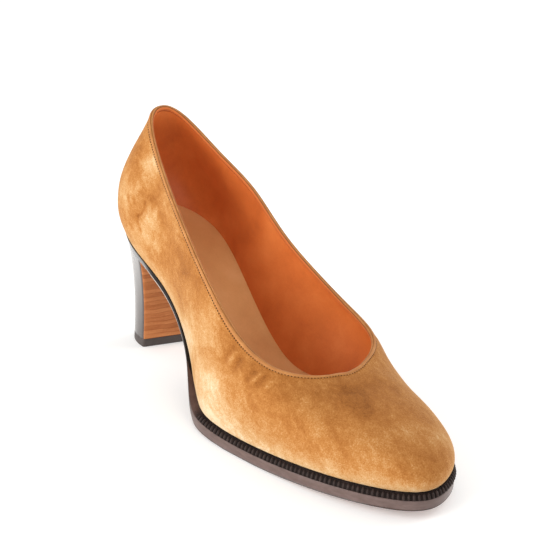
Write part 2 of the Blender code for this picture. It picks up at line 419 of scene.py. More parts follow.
suede = {
    "around": 640,
    "rows": 96,
    "rimDown": 3.3,          # from here up the suede is rolled over the binding
    "rollFrom": -42,         # turn round the binding where the roll begins,
    "rollTo": 52,            # and where it ends
    "rollSteps": 9,
    "rollRadius": 1.28,
    "rollEnd": (5, 1.2),     # its cut edge: further turn, and radius
    "rollShade": 0.40,        # painted shade: the roll is darker where it turns over the binding
    "swell": 0.12,           # slow unevenness of the lasted skin,
    "footFade": (1, 5),      # which fades in above the sole,
    "rimFade": (0.4, 3.4),   # and out below the roll
    "drawnIn": (0.6, 0.06),  # the foot of the wall goes in and down over the insole
    "innerEvery": 8,         # the hidden back keeps one row in this many
    "creaseSteps": 13,
    "paintedFloorLight": (0.85, 7),   # painted light thrown up off the floor: a pale band above the sole, amount and reach
    # start, middle, end on the shoe, height (a trough is negative), width, and how much paler or darker it is
    # painted: painted highlight on a ridge, painted shade in a trough
    "creases": [
        ((33.2, -23.5, 83.7), (34.3, -24.9, 79.9), (31.7, -26.3, 76.4), -0.28, 0.9, -0.75),
        ((31.7, -26.3, 76.4), (34.2, -27.1, 72.2), (37, -27.2, 70.2), -0.25, 0.9, -0.65),
        ((28.5, -22.5, 87.1), (41, -22.5, 85.2), (46.5, -23.6, 82), -0.24, 2.4, -0.55),
        ((50, -24.2, 79.6), (57, -25.4, 75.6), (69.2, -27.3, 70.1), -0.14, 3.4, -0.38),
        ((38.7, -27.1, 70), (45, -26.8, 67.5), (51.6, -26.6, 65.7), 0.22, 2, 0.50),
        ((19.7, -24.6, 83.3), (22.3, -25.3, 81.2), (25.2, -25.9, 79.3), -0.16, 0.9, -0.50),
        ((24.6, -24.3, 83.8), (25.8, -24.7, 82.4), (26.9, -25.1, 81.1), -0.16, 0.8, -0.45),
        ((124.8, -37.5, 40.2), (125.1, -35.9, 43.4), (126.9, -33.3, 47), 0.28, 1.1, 0.62),
        ((128.8, -37.4, 40.3), (129.1, -35.6, 43.4), (129.9, -33.6, 45.8), -0.50, 1.7, -0.50),
        ((121.5, -38, 40), (122, -36.2, 43.6), (123, -34.2, 46.6), -0.30, 1.4, -0.40),
        ((141.2, -37.1, 38.3), (142.6, -35.1, 41.1), (143.3, -32.8, 43.2), 0.30, 0.9, 0.62),
        ((143.8, -36.6, 38.2), (145.1, -34.5, 40.9), (145.8, -32.3, 42.8), -0.45, 1.8, -0.60),
        ((137.9, -37.5, 38.5), (139, -35.6, 41.4), (140, -33.6, 43.5), -0.45, 1.7, -0.55),
        ((148.4, -35.4, 38.1), (148.8, -34.1, 39.6), (149.3, -32.5, 41.1), 0.24, 0.9, 0.45),
        ((118, 36, 44), (124, 37.5, 40), (131, 38.5, 36.5), -0.45, 1.8, -0.50),
        ((124, 35.8, 44.5), (131, 36, 41.5), (138, 36.3, 38.5), 0.35, 1.1, 0.50),
        ((30, 22, 92), (37, 24, 84), (40, 25, 76), -0.45, 2, -0.45),
        ((36, 22.5, 91), (43, 24, 83.5), (45, 24.5, 76), 0.35, 1.3, 0.40),
        ((168, -14, 40), (172, -2, 40.4), (171, 11, 39.8), -0.20, 3.2, -0.20),
        ((190, -16, 31), (195, 2, 33), (190, 18, 31.5), -0.16, 3.4, -0.15),
    ],
    # place, reach, and how much paler or darker the suede is there: partly the nap's own tone, partly painted
    # light, paler on the near lower side where the light falls and darker where it is in shade
    "napAndPaintedLight": [
        ((117, -41, 20), 17, 0.78),
        ((128, -40, 10), 14, 0.40),
        ((104, -38, 25), 15, 0.65),
        ((82, -31, 34), 13, 1.10),
        ((62, -27, 56), 8, 0.10),
        ((59.7, -26.8, 63.5), 6, -0.35),
        ((102.4, -34.9, 46.7), 9, 0.40),
        ((22.3, -24.5, 83.6), 7, 0.35),
        ((35.6, -27, 71.5), 7, 0.25),
        ((211.9, -13.4, 18.4), 9, -0.30),
        ((206.4, 17.1, 25.1), 9, 0.20),
        ((188.4, 21.9, 30.7), 9, 0.15),
        ((160, -35, 13), 14, 0.15),
        ((189, -27, 14), 13, 0.08),
        ((27, -16.8, 100), 11, 0.90),
        ((15.9, -17.3, 99.1), 5, -0.50),
        ((21.6, -19.9, 93.9), 5, -0.50),
        ((39.8, -19.6, 93.4), 7, -0.45),
        ((14, -22, 82), 9, 0.40),
        ((41, -25, 77.6), 6.5, 0.70),
        ((35, -26.5, 68), 8, 0.50),
        ((76, -28, 68), 11, -0.45),
        ((90, -31, 58), 10, -0.30),
        ((90, -32.5, 42), 9, 0.30),
        ((124, -35, 44), 10, -0.45),
        ((150, -33, 38), 12, -0.35),
        ((177, -7, 38), 15, -0.70),
        ((175, 14, 38), 12, -0.25),
        ((194, -10, 32), 11, 0.45),
        ((212, 3, 25), 12, -0.35),
        ((150, 38, 18), 15, 0.40),
        ((95, 24, 40), 15, 0.35),
        ((35, 26, 80), 14, -0.30),
        ((6, 8, 90), 12, 0.25),
    ],
}


def distanceTo(points, start, middle, end):
    # distance from each point to a bent line through three places
    t = np.linspace(0, 1, suede["creaseSteps"])[:, None]
    start, middle, end = (np.array(p) for p in (start, middle, end))
    turnPoint = 2 * middle - (start + end) / 2
    line = (1 - t)**2 * start + 2 * (1 - t) * t * turnPoint + t**2 * end
    near = np.full(len(points), 1e9)
    for a, b in zip(line[:-1], line[1:]):
        along = np.clip((points - a) @ (b - a) / ((b - a) @ (b - a)), 0, 1)[:, None]
        near = np.minimum(near, np.linalg.norm(points - a - along * (b - a), axis=1))
    return near


def suedeRelief(points):
    x, y, z = points.T
    height = suede["swell"] * (np.sin(x / 7.3 + 0.9 * np.sin(z / 9.1)) * np.cos(z / 6.4 + y / 8.7)
                               + 0.6 * np.sin(x / 4.1 - z / 5.3 + 0.7 * np.cos(y / 6.1)))
    # the creases also carry painted highlight on their ridges and painted shade in their troughs
    paintedCreaseLight = np.zeros(len(points))
    for start, middle, end, raised, width, amount in suede["creases"]:
        shape = np.exp(-(distanceTo(points, start, middle, end) / width)**2)
        height += raised * shape
        paintedCreaseLight += amount * shape
    return height, paintedCreaseLight


def suedeTone(points):
    # patches of the nap's own tone mixed with painted light and shade
    tone = np.zeros(len(points))
    for place, reach, amount in suede["napAndPaintedLight"]:
        tone += amount * np.exp(-(np.linalg.norm(points - np.array(place), axis=1) / reach)**2)
    return tone


def suedeFinish():
    material, tree, shader = newMaterial("camelSuede", {
        "Roughness": 0.95, "Specular IOR Level": 0.12, "Sheen Weight": 0.5, "Sheen Roughness": 0.35,
        "Sheen Tint": (1, 0.74, 0.44, 1),
    })
    cloud = noise(tree, 34, 2, 0.5, 0.4)
    napAndPaintedLight = noise(tree, 110, 3, 0.55, 0.8, (1.6, 1, 0.9), (0, 0.6, 0))
    streak = noise(tree, 330, 3, 0.6, 0.5, (3, 1, 1), (0, 0.75, 0))
    patch = noise(tree, 420, 3, 0.6, 0.3)
    grain = noise(tree, 1700, 3, 0.7)
    fibre = noise(tree, 4200, 2, 0.6, 0, (1, 1.6, 0.8))
    # the tone attribute brings in the nap's own tone together with the painted light and shade
    tone = weighted(tree, 0.60, [
        (attribute(tree, "tone"), 0.30), (cloud, 0.34), (napAndPaintedLight, 0.44),
        (streak, 0.24), (patch, 0.34), (grain, 0.72),
    ])
    colour = ramp(tree, tone, [
        (0.05, (0.210, 0.068, 0.013)), (0.32, (0.330, 0.120, 0.026)), (0.50, (0.425, 0.180, 0.048)),
        (0.62, (0.490, 0.250, 0.090)), (0.76, (0.555, 0.335, 0.155)), (1, (0.705, 0.545, 0.360)),
    ])
    nap = weighted(tree, 0.5, [(grain, 0.8), (fibre, 0.5)])
    under = bump(tree, patch, 0.25, 0.0006)
    dress(tree, shader, {"Base Color": colour, "Normal": bump(tree, nap, 0.55, 0.00035, under)})
    return material


def openingFrame(count, middle):
    # points below the opening with the way out of the wall and the way up it
    reach = form["binding"] / 2
    middle = np.broadcast_to(middle, (count,))
    strip = pointsDown(footLines(count)["curves"], middle[:, None] + np.array([reach, 0, -reach]))
    around = np.roll(strip[:, 1], -1, axis=0) - np.roll(strip[:, 1], 1, axis=0)
    upWall = unit(strip[:, 2] - strip[:, 0])
    return strip[:, 1], unit(np.cross(around, upWall)), upWall


def bindingCentre(count):
    middle, out, upWall = openingFrame(count, form["binding"] / 2)
    return middle - out * form["wall"] / 2, out, upWall


def makeSuede():
    skin, normals, down, full = lastedSkin(suede)
    height, paintedCreaseLight = suedeRelief(skin.reshape(-1, 3))
    fade = smoothStep(full - down, *suede["footFade"])
    fade *= smoothStep(down, *(suede["rimDown"] + reach for reach in suede["rimFade"]))
    outer = skin + normals * (height.reshape(fade.shape) * fade)[:, :, None]
    # the upper edge is rolled over the binding, and the foot of the wall is drawn in over the insole
    centre, out, upWall = bindingCentre(suede["around"])
    further, endRadius = suede["rollEnd"]
    turns = np.linspace(suede["rollFrom"], suede["rollTo"], suede["rollSteps"])
    turns = np.radians(np.append(turns, suede["rollTo"] + further))
    radii = [suede["rollRadius"]] * suede["rollSteps"] + [endRadius]
    roll = [centre + (out * math.cos(a) + upWall * math.sin(a)) * radius for a, radius in zip(turns, radii)]
    inner = (skin - normals * form["suede"])[:, ::-suede["innerEvery"]]
    drawn, lowered = suede["drawnIn"]
    lip = skin[:, :1] - normals[:, :1] * drawn - np.array([0, 0, lowered])
    grid = np.concatenate([outer, np.stack(roll, axis=1), inner, lip], axis=1)
    tone = suedeTone(grid.reshape(-1, 3)).reshape(grid.shape[:2])
    # painted light: the creases' painted highlight and shade, and a pale band above the sole
    amount, reach = suede["paintedFloorLight"]
    tone[:, :suede["rows"]] += paintedCreaseLight.reshape(fade.shape) * fade + amount * np.exp(-((full - down) / reach)**2)
    # painted shade on the roll and the hidden back of the suede
    tone[:, suede["rows"]:] -= suede["rollShade"]
    makePiece("suedeUpper", grid, sweepFaces(*grid.shape[:2]), [suedeFinish()],
              "upper", {"tone": tone})


# Lining

lining = {
    "around": 360,
    "rows": 40,
    "rimDown": 2.6,
    "gap": 0.06,             # room between lining and suede
    "look": {
        "specular": 0.35,
        "coarse": (60, 3, 0.55, 0.3),
        "fine": (1100, 3, 0.6),
        "pores": 950,
        "weights": (0.8, 0.22),
        "colours": [(0.1, (0.43, 0.095, 0.018)), (0.5, (0.62, 0.160, 0.033)), (0.9, (0.76, 0.245, 0.062))],
        "rough": ("fine", 0.42, 0.62),
        "relief": [("pores", 0.25, 0.00012), ("coarse", 0.3, 0.0006)],
    },
}


def makeLining():
    skin, normals = lastedSkin(lining)[:2]
    outer = skin - normals * (form["suede"] + lining["gap"])
    inner = (skin - normals * form["wall"])[:, ::-1]
    grid = np.concatenate([outer, inner], axis=1)
    makePiece("rustLining", grid, sweepFaces(*grid.shape[:2]), [newFinish("rustLining", lining["look"])],
              "upper", sharpAngle=50)


# Rolled binding and the row of stitches below it

binding = {
    "around": 720,
    "section": 60,
    # turn from the outside towards the top, depth and breadth of each sunk line
    "sunkLines": ((58, 0.26, 7), (118, 0.24, 9)),
    "bead": (88, 0.14, 20),           # the piping between them: turn, height and breadth
    "insideFrom": (116, 124),         # turns between which the colour changes to the lining's,
    "insideTo": (250, 300),           # and back again
    "look": {
        "specular": 0.2,
        "shader": {"Sheen Weight": 0.1, "Sheen Roughness": 0.4},
        "coarse": (150, 3, 0.6),
        "fine": (1800, 3, 0.65),
        "weights": (0.8, 0.5),
        "colours": [(0.1, (0.27, 0.100, 0.028)), (0.5, (0.42, 0.172, 0.050)), (0.9, (0.56, 0.270, 0.093))],
        "covers": {"inside": (0.56, 0.15, 0.035), "sunk": (0.120, 0.040, 0.013)},
        "rough": ("fine", 0.60, 0.85),
        "relief": [("fine", 0.35, 0.00015)],
    },
}


def makeBinding():
    centre, out, upWall = bindingCentre(binding["around"])
    angle = np.linspace(0, 360, binding["section"], endpoint=False)
    beadTurn, beadHeight, beadBreadth = binding["bead"]
    radius = form["binding"] / 2 + beadHeight * np.exp(-((angle - beadTurn) / beadBreadth)**2)
    sunk = np.zeros(len(angle))
    for turn, depth, breadth in binding["sunkLines"]:
        shape = np.exp(-(((angle - turn + 180) % 360 - 180) / breadth)**2)
        radius -= depth * shape
        sunk = np.maximum(sunk, shape)
    inside = smoothStep(angle, *binding["insideFrom"]) * (1 - smoothStep(angle, *binding["insideTo"]))
    radians = np.radians(angle)
    grid = (centre[:, None] + out[:, None] * (radius * np.cos(radians))[None, :, None]
            + upWall[:, None] * (radius * np.sin(radians))[None, :, None])
    count = binding["around"]
    finish = newFinish("rolledBinding", binding["look"])
    makePiece("rolledBinding", grid, sweepFaces(count, len(angle)), [finish], "topline_binding",
              {"sunk": np.tile(sunk, count), "inside": np.tile(inside, count)})


stitching = {
    "around": 640,
    "below": (2.45, 2.3),           # distance under the opening, at the sides and at the throat,
    "throatEnds": (120, 150),       # with the change between these
    "proud": 0.08,
    "pitch": 1.45,
    "threadLength": 0.78,
    "threadWidth": 0.26,
    "loose": ((0.9, 0.9, 0.8), (1.05, 1.1, 1.15)),   # least and most of a thread's length, width and height
    "threadColour": (0.54, 0.27, 0.095),
    "holeWidth": 0.64,
    "holeDepth": 0.10,
    "holeAbove": 0.02,
    "holeGrowth": (1.35, 0.95),     # the holes are drawn open at the sides, and less at the throat,
    "growthEnds": (100, 140),       # with the change between these
    # the needle holes are dark discs on the skin: painted shade
    "holeShadeColour": (0.085, 0.034, 0.013),
    "seed": 7,
}


def threadFinish(name, colour):
    material, tree, shader = newMaterial(name, {"Roughness": 0.8, "Specular IOR Level": 0.08})
    twist = addNode(tree, "ShaderNodeTexWave", {
        "Vector": objectPlace(tree), "Scale": 900, "Distortion": 1.5, "Detail": 1,
    }).outputs["Fac"]
    dark = tuple(0.6 * part for part in colour)
    dress(tree, shader, {
        "Base Color": blend(tree, twist, dark, colour), "Normal": bump(tree, twist, 0.4, 0.0001)})
    return material


def nodeSizes(settings, labels):
    return {**{label: settings[label] * mm for label in labels}, "seed": settings["seed"]}


def newNodeTree(name, sizes):
    tree = bpy.data.node_groups.new(name, "GeometryNodeTree")
    face = tree.interface
    face.new_socket("Geometry", in_out="INPUT", socket_type="NodeSocketGeometry")
    face.new_socket("Geometry", in_out="OUTPUT", socket_type="NodeSocketGeometry")
    for label, value in sizes.items():
        kind = "NodeSocketInt" if isinstance(value, int) else "NodeSocketFloat"
        face.new_socket(label, in_out="INPUT", socket_type=kind).default_value = value
    return tree, addNode(tree, "NodeGroupInput").outputs, addNode(tree, "NodeGroupOutput").inputs


def runNodes(name, guide, tree, sizes):
    # the tree on a guide line, turned into a plain mesh
    helper = intoScene(name + "Guide", guide)
    modifier = helper.modifiers.new(name, "NODES")
    modifier.node_group = tree
    for item in tree.interface.items_tree:
        if item.item_type == "SOCKET" and item.in_out == "INPUT" and item.name in sizes:
            modifier[item.identifier] = sizes[item.name]
    graph = bpy.context.evaluated_depsgraph_get()
    graph.update()
    mesh = bpy.data.meshes.new_from_object(helper.evaluated_get(graph))
    mesh.name = name
    bpy.data.objects.remove(helper, do_unlink=True)
    mesh.shade_smooth()
    return mesh


def guideLine(name, points, closed, skin, size):
    # a bare line of vertices that carries the way off the skin and a size for the nodes
    count = len(points)
    mesh = makeMesh(name, points, [(i, (i + 1) % count) for i in range(count if closed else count - 1)], [])
    setAttribute(mesh, "skin", skin, "FLOAT_VECTOR", "vector")
    setAttribute(mesh, "size", size)
    return mesh


def guideValue(tree, name, kind):
    node = addNode(tree, "GeometryNodeInputNamedAttribute", {"Name": name}, data_type=kind)
    return node.outputs["Attribute"]


def pathPoints(tree, source, pitch):
    # even points along the guide, turned so X runs along it and Z stands off the skin
    curve = addNode(tree, "GeometryNodeMeshToCurve", {"Mesh": source})
    steps = {"Curve": curve.outputs[0], "Length": pitch}
    points = addNode(tree, "GeometryNodeCurveToPoints", steps, mode="LENGTH")
    skin = guideValue(tree, "skin", "FLOAT_VECTOR")
    axes = {"Primary Axis": skin, "Secondary Axis": points.outputs["Tangent"]}
    turned = addNode(tree, "FunctionNodeAxesToRotation", axes, primary_axis="Z", secondary_axis="X")
    return points.outputs["Points"], turned.outputs["Rotation"]


def shaped(tree, part, label, x, y, z):
    # a part scaled or moved by sizes of the tree
    vector = addNode(tree, "ShaderNodeCombineXYZ", {"X": x, "Y": y, "Z": z})
    return addNode(tree, "GeometryNodeTransform", {"Geometry": part, label: vector.outputs[0]}).outputs[0]


def bead(tree, segments, x, y, z):
    ball = addNode(tree, "GeometryNodeMeshUVSphere", {"Segments": segments, "Rings": 6, "Radius": 0.5})
    return shaped(tree, ball.outputs["Mesh"], "Scale", x, y, z)


def randomValue(tree, kind, first, limits, seed):
    # between the two limits, which go to the sockets from the first on
    inputs = {first: limits[0], first + 1: limits[1], "Seed": seed}
    return addNode(tree, "FunctionNodeRandomValue", inputs, data_type=kind).outputs


def copiesAlong(tree, points, turned, part, scale, material):
    # a copy of the part at each point, as real geometry in its material
    copies = addNode(tree, "GeometryNodeInstanceOnPoints", {
        "Points": points, "Instance": part, "Rotation": turned, "Scale": scale})
    real = addNode(tree, "GeometryNodeRealizeInstances", {"Geometry": copies.outputs[0]})
    return addNode(tree, "GeometryNodeSetMaterial", {
        "Geometry": real.outputs[0], "Material": material}).outputs[0]


def makeStitches():
    along = footLines(stitching["around"])["curves"][:, -1, 0]
    side, throat = stitching["below"]
    wide, narrow = stitching["holeGrowth"]
    below = side + (throat - side) * smoothStep(along, *stitching["throatEnds"])
    growth = wide + (narrow - wide) * smoothStep(along, *stitching["growthEnds"])
    row, out = openingFrame(stitching["around"], below)[:2]
    guide = guideLine("stitchGuide", row + out * stitching["proud"], True, out, growth)
    sizes = nodeSizes(stitching, ("pitch", "threadLength", "threadWidth", "holeWidth"))
    tree, given, result = newNodeTree("collarStitches", sizes)
    points, turned = pathPoints(tree, given["Geometry"], given["pitch"])
    thread = bead(tree, 8, given["threadLength"], given["threadWidth"], given["threadWidth"])
    loose = randomValue(tree, "FLOAT_VECTOR", 0, stitching["loose"], given["seed"])[0]
    # each needle hole is a flat dark cone on the skin, painted shade where the hole is
    disc = addNode(tree, "GeometryNodeMeshCone", {
        "Vertices": 9, "Radius Top": 0, "Depth": stitching["holeDepth"] * mm,
        "Radius Bottom": maths(tree, "MULTIPLY", given["holeWidth"], 0.5)})
    holeShadeDisc = shaped(tree, disc.outputs["Mesh"], "Translation",
                  maths(tree, "MULTIPLY", given["pitch"], 0.5), 0, stitching["holeAbove"] * mm)
    joined = addNode(tree, "GeometryNodeJoinGeometry")
    for part, scale, finish in (
            (thread, loose, threadFinish("collarThread", stitching["threadColour"])),
            (holeShadeDisc, guideValue(tree, "size", "FLOAT"), threadFinish("needleHoleShade", stitching["holeShadeColour"]))):
        tree.links.new(copiesAlong(tree, points, turned, part, scale, finish), joined.inputs[0])
    tree.links.new(joined.outputs[0], result[0])
    addPiece("collarStitches", runNodes("collarStitches", guide, tree, sizes), [])


# Ribbed welt

welt = {
    "around": 960,
    # how far out between the lip and the sole edge (0 to 1), and height (0 to 1)
    "section": ((1, 0.02), (1, 0.20), (0.93, 0.27), (0.45, 0.60), (0.36, 0.66), (0.12, 0.70),
                (-0.10, 0.84), (-0.10, 0.96)),
    "gap": 0.1,             # room under the upper
    "inset": 0.3,           # how far it goes in under the wall
    "begins": 0.06,         # share of the full height where the strip comes out of the sole edge
    "bareTo": 112,          # up to here the black is rubbed off,
    "bareBlend": 10,        # and over this length it comes back
    "look": {
        "specular": 0.08,
        "coarse": (220, 3, 0.6),
        "fine": (2400, 2, 0.6),
        "weights": (0.9, 0.5),
        "colours": [(0.15, (0.006, 0.004, 0.003)), (0.55, (0.012, 0.007, 0.006)),
                    (0.95, (0.026, 0.015, 0.012))],
        "covers": {"bare": ((0.040, 0.021, 0.016), (0.110, 0.064, 0.052))},
        "rough": ("fine", 0.45, 0.70),
        "relief": [("fine", 0.3, 0.00012)],
    },
}
ribs = {
    "rows": (2, 3),         # they lie on the slope between these rows of the welt's section
    "from": 106,            # they begin here, from the back of the heel,
    "first": 0.3,           # at this share of their size,
    "grown": 8,             # and are full after this length
    "pitch": 2.15,
    "width": 1.4,
    "length": 3,
    "proud": 0.6,
    "uneven": (0.9, 1.06),  # least and most of a rib's size
    "seed": 3,
    "look": {
        "specular": 0.16,
        "coarse": (420, 3, 0.6),
        "fine": (2600, 2, 0.6),
        "base": 0.45,
        "weights": (1, 0.4),
        "colours": [(0.1, (0.014, 0.008, 0.007)), (0.55, (0.032, 0.020, 0.017)),
                    (0.95, (0.075, 0.050, 0.042))],
        "rough": ("coarse", 0.36, 0.58),
        "relief": [("fine", 0.3, 0.0001)],
    },
}


def weltLines():
    lines = footLines(welt["around"])
    keep = np.flatnonzero(shareOfWelt(lines["edge"][:, 0]) > welt["begins"])
    return lines["edge"][keep], lines["outward"][keep], lines["ledge"][keep]


def weltPoint(strip, across, level):
    edge, outward, ledge = strip
    lip = np.minimum(form["weltLip"], ledge)
    line = edge + outward * (lip + (ledge - lip) * across)
    foot = weltFoot(line[:, 0])
    line[:, 2] = foot + level * (edgeHeight(line[:, 0]) - welt["gap"] - foot)
    return line


def makeWelt():
    strip = weltLines()
    rows = [weltPoint(strip, across, level) for across, level in welt["section"]]
    inner = strip[0] - strip[1] * (form["wall"] + welt["inset"])
    foot = weltFoot(inner[:, 0])
    top = edgeHeight(inner[:, 0]) - welt["gap"]
    for level in (welt["section"][-1][1], welt["section"][0][1]):
        rows.append(np.column_stack([inner[:, :2], foot + level * (top - foot)]))
    grid = np.stack(rows, axis=1)
    count, per = grid.shape[:2]
    faces = sweepFaces(count, per, False, True)
    faces.append(list(range(per)))
    faces.append([(count - 1) * per + k for k in reversed(range(per))])
    bare = 1 - smoothStep(grid[:, :, 0], welt["bareTo"] - welt["bareBlend"], welt["bareTo"])
    makePiece("blackWelt", grid, faces, [newFinish("blackWelt", welt["look"])], "welt",
              {"bare": bare}, sharpAngle=38)


def makeRibs():
    strip = weltLines()
    low, high = (weltPoint(strip, *welt["section"][row]) for row in ribs["rows"])
    line = (low + high) / 2
    skin = unit(np.cross(np.gradient(line, axis=0), high - low))
    x = strip[0][:, 0]
    size = ribs["first"] + (1 - ribs["first"]) * smoothStep(x, ribs["from"], ribs["from"] + ribs["grown"])
    ribbed = x > ribs["from"]
    guide = guideLine("ribGuide", line[ribbed], False, skin[ribbed], size[ribbed])
    sizes = nodeSizes(ribs, ("pitch", "width", "length", "proud"))
    tree, given, result = newNodeTree("weltRibs", sizes)
    points, turned = pathPoints(tree, given["Geometry"], given["pitch"])
    rib = bead(tree, 10, given["width"], given["length"], maths(tree, "MULTIPLY", given["proud"], 2))
    uneven = randomValue(tree, "FLOAT", 2, ribs["uneven"], given["seed"])[1]
    scale = maths(tree, "MULTIPLY", guideValue(tree, "size", "FLOAT"), uneven)
    finish = newFinish("weltRib", ribs["look"])
    tree.links.new(copiesAlong(tree, points, turned, rib, scale, finish), result[0])
    addPiece("weltRibs", runNodes("weltRibs", guide, tree, sizes), [])


# Leather sole

sole = {
    "around": 640,
    "across": 20,
    # offset from the outline at the forefoot, under the arch and at the seat, and height from tread to top
    "edge": (
        (-1.6, -2.6, -0.8, 0), (-0.7, -1.5, -0.1, 0), (-0.3, -1.2, -0.02, 0.02), (-0.09, -1, 0, 0.07),
        (0, -0.70, 0, 0.13), (-0.10, -0.52, 0, 0.165), (0, -0.36, 0, 0.20),
        (0.03, -0.10, 0, 0.28), (0.04, -0.03, 0, 0.38), (0.05, 0, 0, 0.46), (0.05, 0, 0, 0.62),
        (0, 0, 0, 0.80), (0, -0.06, -0.02, 0.90), (-0.12, -0.2, -0.15, 0.965),
        (-0.5, -0.6, -0.5, 0.99), (-2, -2, -2, 0.99),
    ),
    "gaps": (0.06, 0.1),         # room under the welt and the upper, at the edge and further in
    "archEnds": (90, 108),       # the edge changes from arch to forefoot between these,
    "waistEnds": (88, 112),      # and its colour between these
    "inkFrom": 1,                # rows from here are the finished edge
    "inkLine": 0.15,             # up to this height the edge is inked dark
    "archHighlight": (0.26, 0.40),         # under the arch a pale line is painted between these heights: painted reflection of the floor on the lower bevel
    "polish": 0.25,              # coat at the forefoot; it is full at the seat and low down at the arch,
    "polishEnds": (0.24, 0.36),  # and ends there between these heights
    "edgeLook": {
        "specular": 0.15,
        "shader": {"Coat Roughness": 0.08, "Coat IOR": 1.7},
        "coarse": (480, 4, 0.6, 0.3, (3, 3, 1)),
        "fine": (1300, 3, 0.6, 0, (3, 3, 1)),
        "weights": (0.9, 0.35),
        # these grey-browns are lighter than the edge's dark leather: partly its own colour, partly painted
        # reflection of the pale floor
        "colours": [(0.1, (0.074, 0.046, 0.040)), (0.5, (0.124, 0.081, 0.072)),
                    (0.95, (0.187, 0.128, 0.115))],
        "covers": {"ink": (0.030, 0.015, 0.012), "waist": (0.008, 0.005, 0.004), "archHighlight": (0.50, 0.43, 0.38)},
        "guided": {"Coat Weight": "polish"},
        "rough": ("coarse", 0.24, 0.42),
        "relief": [("fine", 0.18, 0.00012)],
    },
    "leatherLook": {
        "specular": 0.4,
        "shader": {"Coat Weight": 0.1, "Coat Roughness": 0.4},
        "coarse": (55, 4, 0.6, 0.4),
        "fine": (900, 4, 0.65, 0, (2.8, 1, 1), (0, 0, 0.2)),
        "weights": (0.8, 0.5),
        "colours": [(0.1, (0.130, 0.042, 0.024)), (0.5, (0.215, 0.078, 0.044)),
                    (0.95, (0.330, 0.140, 0.082))],
        "covers": {"waist": (0.060, 0.026, 0.015)},
        "rough": ("fine", 0.42, 0.62),
        "relief": [("fine", 0.25, 0.00018)],
    },
}


def makeSole():
    lines = footLines(sole["around"])
    outline, outward = lines["outline"], lines["outward"]
    x = outline[:, 0]
    seated = 1 - smoothStep(x, *form["leanEnds"])
    arched = (1 - seated) * (1 - smoothStep(x, *sole["archEnds"]))
    edgeGap, topGap = sole["gaps"]
    low, high = soleBottom(x), weltFoot(x) - edgeGap
    dull = sole["polish"]
    rings, ink, polish, archHighlight = [], [], [], []
    for fore, arch, seat, level in sole["edge"]:
        leaning = seat - form["seatLean"] * (1 - level)
        offset = fore + (arch - fore) * arched + (leaning - fore) * seated
        ring = outline + outward * offset[:, None]
        ring[:, 2] = low + level * (high - low)
        rings.append(ring)
        ink.append(np.full(len(x), float(level < sole["inkLine"])))
        shine = 1 - dull - smoothStep(level, *sole["polishEnds"])
        polish.append(dull + (1 - dull) * seated + arched * shine)
        # painted reflection: a pale line on the lower bevel under the arch
        archHighlight.append(arched * (sole["archHighlight"][0] < level < sole["archHighlight"][1]))
    points, faces, fill = filledEdge(
        np.stack(rings, axis=1), (sole["across"], lambda p, k: float(soleBottom(p[0]))),
        (sole["across"], lambda p, k: float(weltFoot(p[0])) - topGap))
    points = np.array(points)
    attributes = {"waist": 1 - smoothStep(points[:, 0], *sole["waistEnds"])}
    for label, rows in (("ink", ink), ("polish", polish), ("archHighlight", archHighlight)):
        attributes[label] = np.zeros(len(points))
        attributes[label][:len(x) * len(rows)] = np.clip(np.stack(rows, axis=1), 0, 1).ravel()
    onEdge = np.arange(len(faces)) % (len(rings) - 1) >= sole["inkFrom"]
    leather = np.append(1 - onEdge, np.ones(len(fill)))
    finishes = [newFinish("soleEdge", sole["edgeLook"]), newFinish("soleLeather", sole["leatherLook"])]
    makePiece("leatherSole", points, faces + fill, finishes, "outsole", attributes,
              sharpAngle=42, finishOf=leather)


# Sock over the insole

sock = {
    "around": 480,
    "across": 24,
    "acrossBelow": 4,
    "dish": 0.9,
    "overlap": 0.1,          # its edge presses into the lining
    "follow": 0.9,           # share of the wall's lean that its edge takes up
    # in from the lining, and height over the line where the wall meets the sole
    "edge": ((0.9, -0.4), (0.15, -0.1), (0, 1.7), (0.12, 1.95), (0.4, 2.05)),
    "look": {
        "specular": 0.4,
        "coarse": (40, 3, 0.55, 0.3),
        "fine": (1000, 3, 0.6),
        "pores": 800,
        "weights": (0.8, 0.25),
        "colours": [(0.1, (0.60, 0.275, 0.090)), (0.5, (0.74, 0.390, 0.145)), (0.9, (0.84, 0.500, 0.220))],
        "rough": ("fine", 0.40, 0.58),
        "relief": [("pores", 0.25, 0.00012)],
    },
}


def makeSock():
    lines = footLines(sock["around"])
    lean = lines["lean"]
    line = lines["edge"] - lines["outward"] * (form["wall"] * np.sqrt(1 + lean**2) - sock["overlap"])
    rings = []
    for inset, above in sock["edge"]:
        ring = line - lines["outward"] * (inset - sock["follow"] * lean * max(above, 0))
        ring[:, 2] = edgeHeight(ring[:, 0]) + above
        rings.append(ring)
    low, high = sock["edge"][0][1], sock["edge"][-1][1]
    points, faces, fill = filledEdge(
        np.stack(rings, axis=1), (sock["acrossBelow"], lambda p, k: float(edgeHeight(p[0])) + low),
        (sock["across"], lambda p, k: float(edgeHeight(p[0])) + high - sock["dish"] * (1 - (2 * k - 1)**4)))
    makePiece("tanSock", points, faces + fill, [newFinish("tanSock", sock["look"])],
              "insole", sharpAngle=45)


# Stacked heel and its top lift

